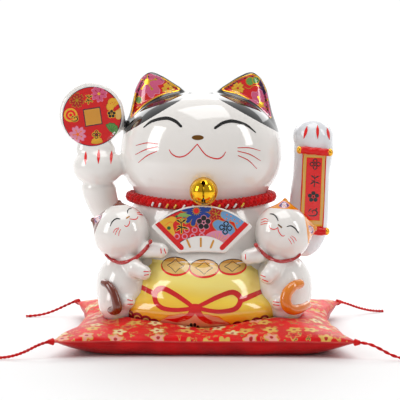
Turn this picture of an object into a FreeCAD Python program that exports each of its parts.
"""Ceramic beckoning-cat figurine with a battery-driven waving arm, seated on a brocade cushion.

Row frame, millimetres: +Z up, origin at the middle of the cushion's underside, the cat faces -Y.
The cat's own axis stands FIGURE_X off the cushion's middle, so its parts are drawn about x = 0
and moved there when they are written.
"""
import FreeCAD
import Part
import math
import os

from FreeCAD import Vector

# ---------------------------------------------------------------- driving dimensions
FIGURE_X = -5.0            # the cat's axis, off the cushion's middle
SEAT_Z = 12.0              # underside of the ceramic, sunk into the cushion
DEPTH_SHARE = 0.80         # head and torso depth as a share of their width
WALL = 5.0                 # slip-cast ceramic wall
COLLAR_Z = 139.0           # middle of the collar, at the neck
NECK_R = 65.5              # neck half width at the collar
CORD_R = 4.4               # collar cord radius
FIT_GAP = 0.3              # gap between soft pieces and their seat
GLUE_GAP = 0.25            # gap between ceramic pieces that are glazed or glued together

PIVOT_Z = 104.0            # height of the waving arm's shaft
SHAFT_R = 2.5
BUSH_GAP = 0.05            # running clearance on the shaft, on the radius
ARM_WALL = 1.8             # moulded plastic wall of the waving arm

LAND_Y = 66.0              # flat land on the back that carries the cover
COVER = (72.0, 69.0)       # back cover width and height
COVER_Z = 59.5             # middle of the back cover
COVER_T = 2.5
GASKET_T = 0.8
OPENING = (62.0, 59.0)     # hole through the ceramic behind the cover

CUSHION_HALF = 143.0       # middle to a corner, along X or Y
CUSHION_TOP = 31.0
SEAM_Z = 15.0
CLOTH_T = 1.2
TASSEL_R = 1.5             # doubled corner cord

# half width of the cat against height: base, belly, shoulders, neck, cheeks, crown
OUTLINE = [
    (76.0, SEAT_Z), (83.5, 19.0), (90.0, 36.0), (92.0, 54.0), (89.5, 74.0), (82.5, 97.0),
    (74.5, 119.0), (69.0, 131.0), (NECK_R, COLLAR_Z), (67.8, 147.0), (73.0, 155.0),
    (79.0, 168.5), (80.5, 180.0), (79.3, 192.0), (75.6, 206.0), (66.5, 221.0),
    (50.5, 234.0), (28.0, 242.0),
]
CROWN_Z = 244.5

# ---------------------------------------------------------------- small helpers
def box(x, y, z):
    """A block from three (low, high) pairs."""
    return Part.makeBox(x[1] - x[0], y[1] - y[0], z[1] - z[0], Vector(x[0], y[0], z[0]))


def rod(start, direction, length, radius):
    """A cylinder from start along direction."""
    return Part.makeCylinder(radius, length, Vector(*start), Vector(*direction))


def ellipsoid(centre, radii):
    scale = FreeCAD.Matrix()
    scale.scale(*radii)
    solid = Part.makeSphere(1.0).transformGeometry(scale)
    solid.translate(Vector(*centre))
    return solid


def joined(first, *others):
    return first.fuse(list(others)).removeSplitter() if others else first


def oval(cx, cy, z, a, b, power=2.0, count=16):
    """A closed smooth outline at height z: an ellipse, or squarer for a power above 2."""
    points = []
    for i in range(count):
        turn = 2 * math.pi * i / count
        c, s = math.cos(turn), math.sin(turn)
        x = math.copysign(abs(c) ** (2 / power), c)
        y = math.copysign(abs(s) ** (2 / power), s)
        points.append(Vector(cx + a * x, cy + b * y, z))
    curve = Part.BSplineCurve()
    curve.interpolate(Points=points, PeriodicFlag=True)
    return Part.Wire([curve.toShape()])


def lofted(sections, inset=0.0):
    """A solid through (cx, cy, z, a, b) outlines, each drawn in by inset."""
    low, high = sections[0][2], sections[-1][2]
    wires = []
    for cx, cy, z, a, b in sections:
        z = min(max(z, min(low, high) + inset), max(low, high) - inset)
        wires.append(oval(cx, cy, z, max(a - inset, 0.8), max(b - inset, 0.8)))
    return Part.makeLoft(wires, True)


def egg(centre, radii, inset=0.0):
    """An egg-round solid through ovals, with small flat ends."""
    cx, cy, cz = centre
    a, b, c = (r - inset for r in radii)
    sections = []
    for step in range(-5, 6):
        turn = math.radians(16.0 * step)
        sections.append((cx, cy, cz + c * math.sin(turn), a * math.cos(turn), b * math.cos(turn)))
    return lofted(sections)


def rounded_plate(width, height, thickness, radius, centre, y):
    """A plate in the XZ plane with round corners, from y outwards along +Y."""
    plate = box((centre[0] - width / 2, centre[0] + width / 2), (y, y + thickness),
                (centre[1] - height / 2, centre[1] + height / 2))
    upright = [e for e in plate.Edges if abs(e.tangentAt(e.FirstParameter).y) > 0.99]
    return plate.makeFillet(radius, upright)


# ---------------------------------------------------------------- the cat's ceramic
def torso(inset=0.0):
    """The cat's head and torso, lofted through ovals that follow OUTLINE, drawn in by inset."""
    sections = []
    for i, (r, z) in enumerate(OUTLINE):
        before = OUTLINE[max(i - 1, 0)]
        after = OUTLINE[i + 1] if i + 1 < len(OUTLINE) else (0.0, CROWN_Z)
        along = Vector(after[0] - before[0], 0, after[1] - before[1]).normalize()
        depth = r * DEPTH_SHARE - inset
        height = z + inset * along.x if i else SEAT_Z + inset
        sections.append(oval(0, 0, height, r - inset * along.z, depth))
    sections.append(oval(0, 0, CROWN_Z - inset, 6.0, 5.0))
    return Part.makeLoft(sections, True)


def ear(side):
    """A rounded ear whose outer edge carries on the line of the cheek."""
    sections = [
        (41.0, 2, 206.0, 33.0, 22.0), (40.0, 1, 227.0, 30.5, 17.0), (40.5, 0, 240.0, 27.0, 13.5),
        (41.5, -0.5, 248.0, 24.0, 11.0), (45.0, -1, 255.6, 16.8, 8.5), (47.5, -1, 260.7, 11.0, 6.2),
        (49.5, -1, 265.2, 3.5, 3.0),
    ]
    return lofted([(side * cx, cy, z, a, b) for cx, cy, z, a, b in sections])


def cover_land():
    """The flat pad on the cat's back that the cover sits against."""
    return box((-COVER[0] / 2 - 4, COVER[0] / 2 + 4), (38, LAND_Y),
               (COVER_Z - COVER[1] / 2 - 4, COVER_Z + COVER[1] / 2 + 4))


def torso_solid():
    """The cat without its hollow: head, torso, ears and the pad for the cover."""
    land = cover_land()
    beyond = box((-COVER[0] / 2 - 4, COVER[0] / 2 + 4), (LAND_Y, 90),
                 (COVER_Z - COVER[1] / 2 - 4, COVER_Z + COVER[1] / 2 + 4))
    return torso().cut(beyond).fuse([land, ear(-1), ear(1)])


def cat_casting(whole):
    """The hollow casting with its window, its shaft hole and a dimple that clears the bell's loop."""
    ledge = box((-60, 60), (LAND_Y - WALL, 90), (10, 110))
    hollow = torso(WALL).cut(ledge)
    window = box((-OPENING[0] / 2, OPENING[0] / 2), (LAND_Y - 2 * WALL, 90),
                 (COVER_Z - OPENING[1] / 2, COVER_Z + OPENING[1] / 2))
    shaft_hole = rod((60, 0, PIVOT_Z), (1, 0, 0), 40, 9.0)
    return whole.cut(hollow).cut(window).cut(shaft_hole).cut(loop_room())


BAG = {"centre": (0, -36, 50), "radii": (72, 59, 44)}
KITTENS = {
    "left": {"body": (-74, -46, 55), "radii": (28.5, 33, 34), "head": (-77, -53, 110), "r": 27.0,
             "lean": -36, "side": -1},
    "right": {"body": (80, -46, 55), "radii": (30, 33, 34), "head": (77.5, -54, 107), "r": 27.0,
              "lean": 33, "side": 1},
}


def money_bag(torso_room):
    """The bag at the cat's feet, open where it meets the torso."""
    outer = ellipsoid(BAG["centre"], BAG["radii"])
    inner = ellipsoid(BAG["centre"], [r - WALL for r in BAG["radii"]])
    floor = box((-90, 90), (-120, 60), (-20, SEAT_Z))
    inner_floor = box((-90, 90), (-120, 60), (-20, SEAT_Z + WALL))
    return outer.cut(floor).cut(inner.cut(inner_floor)).cut(torso_room)


def kitten(spec, torso_room, bag_room):
    """One small cat leaning on the bag: body, head, ears, two arms and a foot in one casting."""
    body = egg(spec["body"], spec["radii"])
    head = Part.makeSphere(spec["r"], Vector(*spec["head"]))
    parts = [head]
    for tilt in (-38, 38):
        turn = math.radians(spec["lean"] + tilt)
        up = Vector(math.sin(turn), 0, math.cos(turn))
        parts.append(Part.makeCone(16.0, 2.5, 21.0, Vector(*spec["head"]) + up * 14.0, up))
    side = spec["side"]
    for start, reach, drop in (((side * 66, -62, 84), 24, 4), ((side * 76, -68, 70), 22, 1)):
        parts.append(rod(start, (-side * reach, -12, drop), 26, 7.0))
    parts.append(Part.makeSphere(9.0, Vector(side * 70, -76, 42)))
    solid = body.fuse(parts)
    hollow = egg(spec["body"], spec["radii"], WALL)
    return solid.cut(hollow).cut(torso_room).cut(bag_room)


def raised_arm(whole, keep_clear):
    """The fixed beckoning arm with its paw, hollow like the rest."""
    sections = [
        (-68, -4, 92, 16, 15), (-84, -6, 108, 15.8, 15.0), (-93.5, -8, 124, 16.0, 15.2),
        (-100.5, -9, 142, 17.0, 16.0), (-102.5, -9, 156, 17.5, 16.5),
    ]
    arm = lofted(sections)
    core = lofted(sections, WALL)
    paw = ellipsoid((-103, -11, 168), (24, 20, 21))
    hollow = ellipsoid((-103, -11, 168), (24 - WALL, 20 - WALL, 21 - WALL)).fuse(core)
    return arm.fuse(paw).cut(hollow).cut(whole).cut(keep_clear)


DISC = {"centre": (-108.5, -9.0, 223.0), "radius": 32.0, "thick": 13.0, "lean": 10.0}


def coin_disc(paw):
    """The round plaque on the paw, leaning back, with a rounded rim and a short neck."""
    half = DISC["thick"] / 2
    disc = Part.makeCylinder(DISC["radius"], DISC["thick"], Vector(0, half, 0), Vector(0, -1, 0))
    disc = disc.makeFillet(4.0, disc.Edges)
    neck = lofted([(5, 0, -42, 19, 8), (3, 0, -30, 16, 6), (0, 0, -20, 18, 5)])
    plaque = disc.fuse(neck)
    plaque.rotate(Vector(0, 0, 0), Vector(1, 0, 0), -DISC["lean"])
    plaque.translate(Vector(*DISC["centre"]))
    return plaque.cut(paw)


FAN = {"hub": (2.0, 70.4), "outer": 68.4, "inner": 32.5, "half_angle": 46.0, "thick": 6.0,
       "lean": 13.0, "y": -76.0}


def fan_plaque(whole, bag, collar):
    """An open-fan plaque standing on the bag and leaning on the chest."""
    hub = Vector(FAN["hub"][0], 0, FAN["hub"][1])
    half = math.radians(FAN["half_angle"])

    def at(radius, angle):
        return hub + Vector(radius * math.sin(angle), 0, radius * math.cos(angle))

    outer, inner = FAN["outer"], FAN["inner"]
    edges = [
        Part.Arc(at(outer, -half), at(outer, 0), at(outer, half)).toShape(),
        Part.makeLine(at(outer, half), at(inner, half)),
        Part.Arc(at(inner, half), at(inner, 0), at(inner, -half)).toShape(),
        Part.makeLine(at(inner, -half), at(outer, -half)),
    ]
    plaque = Part.Face(Part.Wire(edges)).extrude(Vector(0, FAN["thick"], 0))
    plaque.rotate(hub, Vector(1, 0, 0), -FAN["lean"])
    plaque.translate(Vector(0, FAN["y"] - FAN["thick"], 0))
    return plaque.cut(whole).cut(bag).cut(collar).cut(loop_room())


# ---------------------------------------------------------------- collar and bell
RING_A = NECK_R + CORD_R + 0.4
RING_B = NECK_R * DEPTH_SHARE + CORD_R + 0.4


def ring_path():
    return Part.Wire([Part.Ellipse(Vector(RING_A, 0, COLLAR_Z), Vector(0, RING_B, COLLAR_Z),
                                   Vector(0, 0, COLLAR_Z)).toShape()])


def collar_cord(radius=CORD_R):
    profile = Part.Wire([Part.Circle(Vector(RING_A, 0, COLLAR_Z), Vector(0, 1, 0), radius).toShape()])
    return ring_path().makePipeShell([profile], True, True)


BELL_R = 13.0
BELL_WALL = 0.8
PELLET_R = 3.0
BELL = Vector(3.7, -71.2, 150.8)


def bell_halves():
    """Front half with its keyhole slot, rear half with the crimped lip, and the wire loop."""
    shell = Part.makeSphere(BELL_R, BELL).cut(Part.makeSphere(BELL_R - BELL_WALL, BELL))
    front = shell.common(box((-20, 30), (-100, BELL.y), (130, 170)))
    rear = shell.common(box((-20, 30), (BELL.y, -50), (130, 170)))
    slot = box((BELL.x - 0.8, BELL.x + 0.8), (-100, BELL.y - 4), (BELL.z - 8.5, BELL.z + 8.5))
    front = front.cut(slot)
    for z in (-8.5, 8.5):
        front = front.cut(rod((BELL.x, BELL.y, BELL.z + z), (0, -1, 0), 20, 2.0))
    lip = Part.makeTorus(BELL_R + 0.1, 0.45, BELL, Vector(0, 1, 0))
    half = box((-20, 30), (BELL.y, -50), (130, 170))
    rear = rear.fuse(lip.common(half))
    return front, rear


def loop_room():
    """The space the bell's loop needs as it turns a little each way."""
    return Part.makeSphere(CORD_R + 2.0, Vector(BELL.x, -RING_B, COLLAR_Z))


def bell_loop(rear):
    """A wire loop from the back of the bell round the collar cord."""
    middle = Vector(BELL.x, -RING_B, COLLAR_Z)
    loop = Part.makeTorus(CORD_R + 0.85, 0.6, middle, Vector(1, 0, 0))
    return loop.cut(Part.makeSphere(BELL_R, BELL)).cut(rear)


def bell_pellet():
    drop = BELL_R - BELL_WALL - PELLET_R - 0.1
    return Part.makeSphere(PELLET_R, BELL - Vector(0, 0, drop))


# ---------------------------------------------------------------- waving arm
ARM = [
    (103.5, 0, 80.5, 5.0, 5.0), (104.3, 0, 86, 11.8, 11.5), (105.6, 0, 95, 17.0, 15.5),
    (106.8, 0, 106, 19.6, 17.0), (107.6, 0, 122, 20.3, 17.3), (108.6, 0, 142, 19.9, 17.0),
    (110.6, 0, 164, 18.7, 16.5), (111.9, -1, 179, 19.0, 17.2), (112.6, -2, 190, 20.2, 19.0),
    (112.8, -2, 200, 20.4, 19.4), (112.7, -2, 209, 16.8, 16.0), (112.6, -2, 215, 10.5, 10.0),
    (112.6, -2, 218.0, 4.0, 4.0),
]


def arm_shells(hub):
    outer = lofted(ARM)
    shell = outer.cut(lofted(ARM, ARM_WALL)).cut(hub)
    front = shell.common(box((60, 160), (-60, 0), (60, 240)))
    rear = shell.common(box((60, 160), (0, 60), (60, 240)))
    return outer, front, rear


def arm_hub():
    """The boss inside the arm, bored for the shaft and reaching to both shells."""
    boss = rod((88.5, 0, PIVOT_Z), (1, 0, 0), 26, 7.5)
    web = box((100, 103), (-14, 14), (PIVOT_Z - 9, PIVOT_Z + 14))
    return boss.fuse(web).cut(rod((80, 0, PIVOT_Z), (1, 0, 0), 30, SHAFT_R))


SCROLL_TOP = (112.8, 187.0)
SCROLL_FOOT = (109.8, 108.0)


def scroll_panel(outer, rods):
    """The red name-board: a flat moulding laid against the front of the arm."""
    middle = [(a + b) / 2 for a, b in zip(SCROLL_TOP, SCROLL_FOOT)]
    half_height = (SCROLL_TOP[1] - SCROLL_FOOT[1]) / 2
    plate = box((-11.8, 11.8), (-20.5, -12), (-half_height, half_height))
    slope = math.degrees(math.atan2(SCROLL_TOP[0] - SCROLL_FOOT[0], 2 * half_height))
    plate.rotate(Vector(0, 0, 0), Vector(0, 1, 0), slope)
    plate.translate(Vector(middle[0], 0, middle[1]))
    return plate.cut(outer).cut(rods)


def scroll_rods(outer):
    rods = [rod((x - 12.5, -20.0, z), (1, 0, 0), 25, 3.6) for x, z in (SCROLL_TOP, SCROLL_FOOT)]
    return Part.makeCompound([r.cut(outer) for r in rods])


def scroll_knobs(outer):
    knobs = []
    for x, z in (SCROLL_TOP, SCROLL_FOOT):
        for side in (-1, 1):
            end = x + side * 12.5
            knob = ellipsoid((end + side * 2.8, -20.0, z), (2.8, 4.3, 4.3))
            knobs.append(knob.cut(outer))
    return Part.makeCompound(knobs)


# ---------------------------------------------------------------- drive inside the torso
CHEEKS = ((2.0, 5.0), (27.0, 30.0))
FRAME_Y = 43.0
SCREWS = [(x, z) for x in (-26.0, 26.0) for z in (36.0, 84.5)]
LEVER_X = (13.0, 17.0)
WEIGHT_Z = (46.0, 66.0)
COIL_Y = 0.0
COIL_X = 15.0
COIL_TOP = 37.0


def drive_frame():
    """The moulded frame: a wall, two cheeks with bearing bosses, a shelf and four screw posts."""
    wall = box((-30, 30), (FRAME_Y - 3, FRAME_Y), (31, 88.5))
    parts = []
    for low, high in CHEEKS:
        parts.append(box((low, high), (-6, FRAME_Y), (84, 88.5)))
        parts.append(box((low, high), (-9, 9), (84, PIVOT_Z + 2)))
        parts.append(rod((low, 0, PIVOT_Z), (1, 0, 0), high - low, 9.0))
        parts.append(box((low, high), (30, FRAME_Y), (31, 88.5)))
    parts.append(box((2, 30), (-15, FRAME_Y), (26, 29)))
    parts.append(box((2, 30), (FRAME_Y - 3, FRAME_Y), (26, 33)))
    for x, z in SCREWS:
        parts.append(rod((x, FRAME_Y - 1, z), (0, 1, 0), COVER_Y - FRAME_Y + 1, 3.4))
    frame = wall.fuse(parts)
    frame = frame.cut(rod((-5, 0, PIVOT_Z), (1, 0, 0), 45, 4.5))
    for x, z in SCREWS:
        frame = frame.cut(rod((x, LAND_Y - 12, z), (0, 1, 0), 20, 1.1))
    return frame


def shaft_bushes():
    bushes = []
    for low, high in CHEEKS:
        bush = rod((low, 0, PIVOT_Z), (1, 0, 0), high - low, 4.5)
        flange = rod((low - 1.2, 0, PIVOT_Z), (1, 0, 0), 1.2, 6.5)
        bushes.append(bush.fuse(flange).cut(rod((low - 3, 0, PIVOT_Z), (1, 0, 0), 10, SHAFT_R + BUSH_GAP)))
    return Part.makeCompound(bushes)


def swing_shaft():
    shaft = rod((-3.5, 0, PIVOT_Z), (1, 0, 0), 113.5, SHAFT_R)
    groove = rod((-2.2, 0, PIVOT_Z), (1, 0, 0), 0.8, 4).cut(rod((-3, 0, PIVOT_Z), (1, 0, 0), 3, 2.0))
    return shaft.cut(groove)


def retaining_ring():
    ring = rod((-2.2, 0, PIVOT_Z), (1, 0, 0), 0.8, 4.6).cut(rod((-3, 0, PIVOT_Z), (1, 0, 0), 3, 2.0))
    return ring.cut(box((-3, 0), (-1.6, 1.6), (PIVOT_Z, PIVOT_Z + 6)))


def swing_lever():
    """The flat lever on the shaft that carries the weight and the magnet."""
    hub = rod((LEVER_X[0] - 3, 0, PIVOT_Z), (1, 0, 0), LEVER_X[1] - LEVER_X[0] + 6, 6.5)
    blade = box(LEVER_X, (-4.5, 4.5), (42, PIVOT_Z))
    foot = rod((COIL_X, 0, 39), (0, 0, 1), 4, 7.5)
    return hub.fuse([blade, foot]).cut(rod((0, 0, PIVOT_Z), (1, 0, 0), 40, SHAFT_R))


def swing_weight(offset_y):
    """The steel balance weight clamped round the lever."""
    block = box((COIL_X - 8.5, COIL_X + 8.5), (offset_y - 13.5, offset_y + 13.5), WEIGHT_Z)
    return block.cut(box(LEVER_X, (-4.5, 4.5), (40, 70)))


def swing_magnet():
    return rod((COIL_X, 0, COIL_TOP + 0.6), (0, 0, 1), 39 - COIL_TOP - 0.6, 6.0)


def coil_bobbin():
    core = rod((COIL_X, COIL_Y, 29), (0, 0, 1), COIL_TOP - 29, 5.0)
    flanges = [rod((COIL_X, COIL_Y, z), (0, 0, 1), 1.0, 11.5) for z in (29, COIL_TOP - 1)]
    return core.fuse(flanges).cut(rod((COIL_X, COIL_Y, 28), (0, 0, 1), 12, 2.5))


def coil_winding():
    ring = rod((COIL_X, COIL_Y, 30), (0, 0, 1), COIL_TOP - 31, 10.8)
    return ring.cut(rod((COIL_X, COIL_Y, 29), (0, 0, 1), 10, 5.0))


def circuit_board():
    board = box((-28, -2), (FRAME_Y - 8.6, FRAME_Y - 7), (42, 80))
    posts = [rod((x, FRAME_Y - 7, z), (0, 1, 0), 4, 2.0) for x in (-25, -5) for z in (45, 77)]
    return board.fuse(posts)


def circuit_components():
    y = FRAME_Y - 8.6
    chip = box((-21, -13), (y - 2.0, y), (56, 66))
    capacitor = rod((-9, y, 71), (0, -1, 0), 9, 3.2)
    transistor = box((-24, -19), (y - 3.5, y), (70, 74))
    resistors = [rod((-8, y - 1.2, z), (-1, 0, 0), 6, 1.2) for z in (47, 51, 55)]
    plug = box((-26, -18), (y - 5, y), (44, 49))
    return Part.makeCompound([chip, capacitor, transistor, plug] + resistors)


# ---------------------------------------------------------------- back cover and power
COVER_Y = LAND_Y + GASKET_T
BAY = {"x": (-28.0, 28.0), "z": (44.5, 76.0), "y": 48.5}
DOOR_HINGE = (COVER_Y + COVER_T / 2, 78.4)
DOOR_KNUCKLE_R = 1.25
CELL_R, CELL_LENGTH = 7.1, 48.8
CELL_Y = BAY["y"] + CELL_R + 0.6
SWITCH = (-13.0, 34.0)
SWITCH_TRAVEL = 4.0
JACK = (12.0, 35.4)


def cover_gasket():
    frame = rounded_plate(COVER[0], COVER[1], GASKET_T, 6.0, (0, COVER_Z), LAND_Y)
    return frame.cut(box((-OPENING[0] / 2, OPENING[0] / 2), (LAND_Y - 5, LAND_Y + 5),
                         (COVER_Z - OPENING[1] / 2, COVER_Z + OPENING[1] / 2)))


def back_cover():
    """The cover plate with the battery bay behind it and the hinge seat for the door."""
    plate = rounded_plate(COVER[0], COVER[1], COVER_T, 6.0, (0, COVER_Z), COVER_Y)
    (x0, x1), (z0, z1), y0 = BAY["x"], BAY["z"], BAY["y"]
    tray = box((x0 - 1.6, x1 + 1.6), (y0 - 1.6, COVER_Y + 1), (z0 - 1.6, z1 + 1.6))
    cover = plate.fuse(tray).cut(box((x0, x1), (y0, COVER_Y + 5), (z0, z1)))
    seat_y, seat_z = DOOR_HINGE
    rib = box((x0 - 1.6, x1 + 1.6), (COVER_Y - 2.2, COVER_Y + 0.1), (z1 + 1, seat_z + 2.6))
    seat = box((-25.5, 25.5), (COVER_Y - 0.3, COVER_Y + 5), (z1 - 0.1, seat_z + DOOR_KNUCKLE_R + 0.3))
    cover = cover.fuse(rib).cut(seat)
    cover = cover.cut(rod((-27.6, seat_y, seat_z), (1, 0, 0), 55.2, 0.86))
    for x, z in SCREWS:
        cover = cover.cut(rod((x, COVER_Y - 2, z), (0, 1, 0), 6, 1.5))
    for x, z in SCREWS:
        cover = cover.cut(Part.makeCone(1.5, 2.7, 1.2, Vector(x, COVER_Y + COVER_T - 1.2, z), Vector(0, 1, 0)))
    x, z = SWITCH
    cover = cover.cut(box((x - 4.6, x + 4.6), (60, 80), (z - 2.1, z + 2.1)))
    return cover.cut(rod((JACK[0], 60, JACK[1]), (0, 1, 0), 20, 4.1))


def battery_door():
    seat_y, seat_z = DOOR_HINGE
    (x0, x1), (z0, z1) = BAY["x"], BAY["z"]
    plate = box((x0 + 0.3, x1 - 0.3), (COVER_Y + 0.3, COVER_Y + COVER_T), (z0 + 0.3, z1 - 0.3))
    neck = box((-24.8, 24.8), (COVER_Y + 0.4, COVER_Y + COVER_T - 0.1), (z1 - 1, seat_z))
    knuckle = rod((-24.8, seat_y, seat_z), (1, 0, 0), 49.6, DOOR_KNUCKLE_R)
    pins = rod((-27.2, seat_y, seat_z), (1, 0, 0), 54.4, 0.8)
    notch = rod((0, COVER_Y + COVER_T + 2.2, z0 + 5), (1, 0, 0), 14, 2.8)
    notch.translate(Vector(-7, 0, 0))
    return plate.fuse([neck, knuckle, pins]).cut(notch)


def cells():
    solids = []
    for z, way in ((BAY["z"][0] + 7.9, 1), (BAY["z"][1] - 7.9, -1)):
        low = -CELL_LENGTH / 2 - 0.2
        body = rod((low, CELL_Y, z), (1, 0, 0), CELL_LENGTH, CELL_R)
        end = low + CELL_LENGTH if way > 0 else low
        nub = rod((end, CELL_Y, z), (way, 0, 0), 1.4, 2.7)
        solids.append(body.fuse(nub))
    return Part.makeCompound(solids)


def battery_springs():
    """The two coil contacts and the two flat ones at the ends of the bay."""
    solids = []
    for z, way in ((BAY["z"][0] + 7.9, -1), (BAY["z"][1] - 7.9, 1)):
        wall_x = BAY["x"][0] if way < 0 else BAY["x"][1]
        helix = Part.makeHelix(0.9, 2.2, 3.0)
        ring = Part.Wire([Part.Circle(Vector(3.0, 0, 0), Vector(0, 1, 0.05), 0.3).toShape()])
        coil = helix.makePipeShell([ring], True, False)
        coil.rotate(Vector(0, 0, 0), Vector(0, 1, 0), 90 if way < 0 else -90)
        plate = box((0, 0.4), (-6, 6), (-6, 6))
        if way < 0:
            coil.translate(Vector(wall_x + 0.75, CELL_Y, z))
            plate.translate(Vector(wall_x, CELL_Y, z))
        else:
            coil.translate(Vector(wall_x - 0.75, CELL_Y, z))
            plate.translate(Vector(wall_x - 0.4, CELL_Y, z))
        solids += [coil, plate]
        far_x = BAY["x"][1] - 0.5 if way < 0 else BAY["x"][0]
        flat = box((far_x, far_x + 0.5), (CELL_Y - 6, CELL_Y + 6), (z - 6, z + 6))
        solids.append(flat)
    return Part.makeCompound(solids)


def switch_body():
    x, z = SWITCH
    case = box((x - 8, x + 8), (COVER_Y - 6, COVER_Y), (z - 3.8, z + 3.8))
    return case.cut(box((x - 4.6, x + 4.6), (COVER_Y - 2.5, COVER_Y + 1), (z - 2.1, z + 2.1)))


def switch_slider():
    x, z = SWITCH
    start = x - 4.4
    knob = box((start, start + 4.4), (COVER_Y - 2.2, COVER_Y + COVER_T + 1.6), (z - 1.9, z + 1.9))
    ribs = [box((start + i, start + i + 0.5), (COVER_Y + COVER_T + 1.2, COVER_Y + COVER_T + 3), (z - 3, z + 3))
            for i in (0.9, 1.9, 2.9)]
    return knob.cut(Part.makeCompound(ribs))


def power_jack():
    x, z = JACK
    case = box((x - 4.8, x + 4.8), (COVER_Y - 12, COVER_Y), (z - 4.8, z + 4.8))
    nose = rod((x, COVER_Y, z), (0, 1, 0), COVER_T, 4.0)
    socket = rod((x, COVER_Y - 9, z), (0, 1, 0), 20, 2.9)
    pin = rod((x, COVER_Y - 10, z), (0, 1, 0), 10.5, 1.0)
    return case.fuse(nose).cut(socket).fuse(pin)


def cover_screws():
    solids = []
    for x, z in SCREWS:
        top = COVER_Y + COVER_T
        shank = rod((x, LAND_Y - 10, z), (0, 1, 0), top - LAND_Y + 9, 1.1)
        head = Part.makeCone(1.1, 2.6, 1.2, Vector(x, top - 1.2, z), Vector(0, 1, 0))
        cross = [box((x - a, x + a), (top - 0.7, top + 1), (z - b, z + b)) for a, b in ((1.4, 0.25), (0.25, 1.4))]
        solids.append(shank.fuse(head).cut(Part.makeCompound(cross)))
    return Part.makeCompound(solids)


def clamp_bars(casting):
    """Two bars inside the ceramic that the screw posts pull against its ledge."""
    jack = box((JACK[0] - 5.2, JACK[0] + 5.2), (50, 70), (JACK[1] - 5.2, JACK[1] + 5.2))
    switch = box((SWITCH[0] - 8.4, SWITCH[0] + 8.4), (50, 70), (SWITCH[1] - 4.2, SWITCH[1] + 4.2))
    bars = []
    for z in (36.0, 84.5):
        low, high = (z - 9, z + 4.2) if z < COVER_Z else (z - 4.2, z + 7)
        bar = box((-37, 37), (LAND_Y - WALL - 3.2, LAND_Y - WALL), (low, high))
        for x in (-26.0, 26.0):
            bar = bar.cut(rod((x, 50, z), (0, 1, 0), 20, 3.4))
        bars.append(bar.cut(casting).cut(jack).cut(switch))
    return Part.makeCompound(bars)


def shaft_grommet():
    """The soft ring that lines the hole where the shaft leaves the torso."""
    ring = rod((74, 0, PIVOT_Z), (1, 0, 0), 11, 9.0)
    lip = rod((83.4, 0, PIVOT_Z), (1, 0, 0), 1.6, 11.0)
    return ring.fuse(lip).cut(rod((70, 0, PIVOT_Z), (1, 0, 0), 20, 5.0))


# ---------------------------------------------------------------- cushion
def cushion_outline(inset, z):
    """A four-cornered outline whose sides draw in between the corners."""
    half = CUSHION_HALF - inset
    side, front = 16.0, 6.0
    corners = [Vector(-half, -half, z), Vector(half, -half, z), Vector(half, half, z), Vector(-half, half, z)]
    middles = [Vector(0, -half + front, z), Vector(half - side, 0, z), Vector(0, half - front, z),
               Vector(-half + side, 0, z)]
    edges = [Part.Arc(corners[i], middles[i], corners[(i + 1) % 4]).toShape() for i in range(4)]
    return Part.Wire(edges)


CUSHION_SECTIONS = [(19.0, 0.0), (9.0, 2.5), (3.5, 7.5), (0.0, SEAM_Z), (3.0, 21.5), (9.0, 26.5),
                    (19.0, 30.0), (34.0, CUSHION_TOP)]


def cushion_solid(inset):
    wires = []
    for draw_in, z in CUSHION_SECTIONS:
        level = inset + z * (CUSHION_TOP - 2 * inset) / CUSHION_TOP
        wires.append(cushion_outline(draw_in + inset, level))
    return Part.makeLoft(wires, True, True)


def seat_pocket(gap):
    """The hollow that the cat, the bag and the kittens press into the cushion."""
    sections = [(-3, -9, SEAT_Z - gap, 84 + gap, 78 + gap), (-3, -9, 22, 100 + gap, 88 + gap),
                (-3, -9, 32, 108 + gap, 92 + gap), (-3, -9, 42, 114 + gap, 96 + gap)]
    return Part.makeLoft([oval(*section, power=2.6) for section in sections], True)


def cushion_parts():
    outer = cushion_solid(0.0).cut(seat_pocket(FIT_GAP))
    filling = cushion_solid(CLOTH_T).cut(seat_pocket(FIT_GAP + CLOTH_T))
    cloth = outer.cut(filling)
    below = box((-200, 200), (-200, 200), (-10, SEAM_Z)).cut(box((-130, 130), (-120, 110), (6, 60)))
    bottom = cloth.common(below)
    return cloth.cut(bottom), bottom, filling


# Each corner cord: the route of its middle line, from the corner knot outwards and down to rest.
TASSELS = {
    "front_left": [(-144.5, -143.5, 15.5), (-153, -146, 13.5), (-164, -149, 7.5), (-177, -152.5, 3.2),
                   (-190, -153, 1.6), (-199, -151, 1.5)],
    "front_right": [(144.5, -143.5, 15.5), (153, -145.5, 15.0), (163, -148, 10.5), (174, -151.5, 4.6),
                    (187, -153.5, 1.6), (197, -153, 1.5)],
    "back_left": [(-144.5, 143.5, 15.5), (-153, 141.5, 12.0), (-164, 137.5, 7.0), (-176, 132, 3.0),
                  (-188, 127.5, 1.6), (-196, 125.5, 1.5)],
    "back_right": [(144.5, 143.5, 15.5), (153, 148.5, 12.5), (163, 155, 8.0), (175, 162.5, 4.0),
                   (186, 169.5, 1.8), (193, 174, 1.5)],
}


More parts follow.
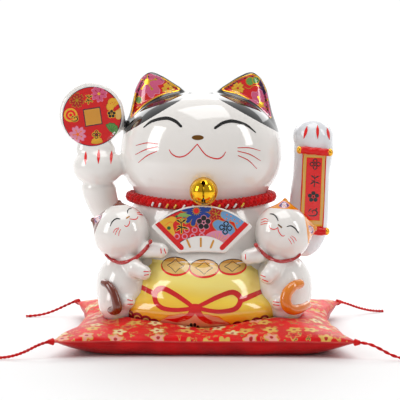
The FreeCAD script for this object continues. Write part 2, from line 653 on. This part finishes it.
def cord_tube(name, points, radius):
    """A tube along straight runs joined by tangent arcs."""
    points = [Vector(*p) for p in points]
    edges, start = [], points[0]
    for before, corner, after in zip(points, points[1:], points[2:]):
        into, out = (corner - before), (after - corner)
        turn = into.getAngle(out)
        reach = 0.45 * min(into.Length, out.Length)
        bend = reach / math.tan(turn / 2)
        print(name, "bend radius", round(bend, 1))
        u, v = into.normalize(), out.normalize()
        first, last = corner - u * reach, corner + v * reach
        middle = corner + (v - u).normalize() * (math.hypot(bend, reach) - bend)
        edges.append(Part.makeLine(start, first))
        edges.append(Part.Arc(first, middle, last).toShape())
        start = last
    edges.append(Part.makeLine(start, points[-1]))
    path = Part.Wire(edges)
    profile = Part.Wire([Part.Circle(points[0], points[1] - points[0], radius).toShape()])
    tube = path.makePipeShell([profile], True, False)
    print(name, "length", round(path.Length, 1), "volume share",
          round(tube.Volume / (path.Length * math.pi * radius ** 2), 4))
    return tube


def corner_knots():
    knots = []
    for x, y in ((-1, -1), (1, -1), (-1, 1), (1, 1)):
        start = Vector(x * 140.6, y * 140.6, SEAM_Z + 0.2)
        along = Vector(x * 3.9, y * 2.9, 0.3)
        knots.append(Part.makeCone(3.4, 2.0, along.Length, start, along))
    return knots


# ---------------------------------------------------------------- assembly
def write(name, shape, moved=True):
    if moved:
        shape = shape.copy()
        shape.translate(Vector(FIGURE_X, 0, 0))
    solids = shape.Solids
    bad = [s for s in solids if not s.isValid() or s.Volume <= 0]
    print(f"{name:24s} solids {len(solids)}  volume {sum(s.Volume for s in solids) / 1000:9.3f} cm3"
          f"  {'BAD' if bad or not solids else ''}")
    Part.makeCompound(solids).exportStep(f"parts/{name}.step")


# Densities in g/mm3 for balancing the arm: plastic, steel and magnet.
PLASTIC, STEEL = 1.15e-3, 7.85e-3


def balance_offset(plastic, steel, weight):
    """How far the weight moves along Y so that the arm's centre of mass stands over the shaft."""
    moment = sum(s.Volume * d * s.CenterOfMass.y for d, group in ((PLASTIC, plastic), (STEEL, steel))
                 for shape in group for s in shape.Solids)
    return -moment / (weight.Volume * STEEL)


def main():
    os.makedirs("parts", exist_ok=True)
    whole = torso_solid()
    bag_solid = ellipsoid(BAG["centre"], BAG["radii"])
    collar_room = collar_cord(CORD_R + FIT_GAP)
    casting = cat_casting(whole)
    write("cat_casting", casting)
    torso_room = torso(-GLUE_GAP)
    bag_room = ellipsoid(BAG["centre"], [r + GLUE_GAP for r in BAG["radii"]])
    write("money_bag", money_bag(torso_room))
    for side, spec in KITTENS.items():
        write(f"kitten_{side}", kitten(spec, torso_room, bag_room))
    kitten_left = Part.makeSphere(KITTENS["left"]["r"], Vector(*KITTENS["left"]["head"])).fuse(
        ellipsoid(KITTENS["left"]["body"], KITTENS["left"]["radii"]))
    arm = raised_arm(whole, kitten_left)
    write("raised_arm", arm)
    paw = ellipsoid((-103, -11, 168), (24, 20, 21))
    write("coin_plaque", coin_disc(paw))
    front, rear = bell_halves()
    write("fan_plaque", fan_plaque(whole, bag_solid, collar_room))
    write("collar_cord", collar_cord())
    write("bell_front", front)
    write("bell_rear", rear)
    write("bell_loop", bell_loop(rear))
    write("bell_pellet", bell_pellet())

    hub = arm_hub()
    outer, arm_front, arm_rear = arm_shells(rod((80, 0, PIVOT_Z), (1, 0, 0), 10, 7.5))
    hub = hub.cut(arm_front).cut(arm_rear)
    hub = hub.common(outer.fuse(rod((80, 0, PIVOT_Z), (1, 0, 0), 12, 7.5)))
    rods = scroll_rods(outer)
    panel = scroll_panel(outer, rods)
    knobs = scroll_knobs(outer)
    shaft, ring, lever, magnet = swing_shaft(), retaining_ring(), swing_lever(), swing_magnet()
    offset = balance_offset([arm_front, arm_rear, hub, panel, rods, knobs, lever],
                            [shaft, ring, magnet], swing_weight(0.0))
    print("balance weight offset", round(offset, 2))
    weight = swing_weight(offset)
    for name, shape in (("arm_shell_front", arm_front), ("arm_shell_rear", arm_rear), ("arm_hub", hub),
                        ("scroll_panel", panel), ("scroll_rods", rods), ("scroll_knobs", knobs),
                        ("swing_shaft", shaft), ("retaining_ring", ring), ("swing_lever", lever),
                        ("swing_weight", weight), ("swing_magnet", magnet)):
        write(name, shape)

    for maker in (drive_frame, shaft_bushes, shaft_grommet, coil_bobbin, coil_winding, circuit_board,
                  circuit_components, cover_gasket, back_cover, battery_door, cells, battery_springs,
                  switch_body, switch_slider, power_jack, cover_screws):
        name = {"cells": "battery_cells"}.get(maker.__name__, maker.__name__)
        write(name, maker())
    write("clamp_bars", clamp_bars(casting))

    top, bottom, filling = cushion_parts()
    cords = {name: cord_tube(name, route, TASSEL_R) for name, route in TASSELS.items()}
    knots = Part.makeCompound([knot.cut(list(cords.values())) for knot in corner_knots()])
    write("cushion_top_panel", top.cut(knots), False)
    write("cushion_bottom_panel", bottom.cut(knots), False)
    write("cushion_filling", filling.cut(knots), False)
    write("corner_knots", knots, False)
    for name, cord in cords.items():
        write(f"tassel_{name}", cord, False)


main()
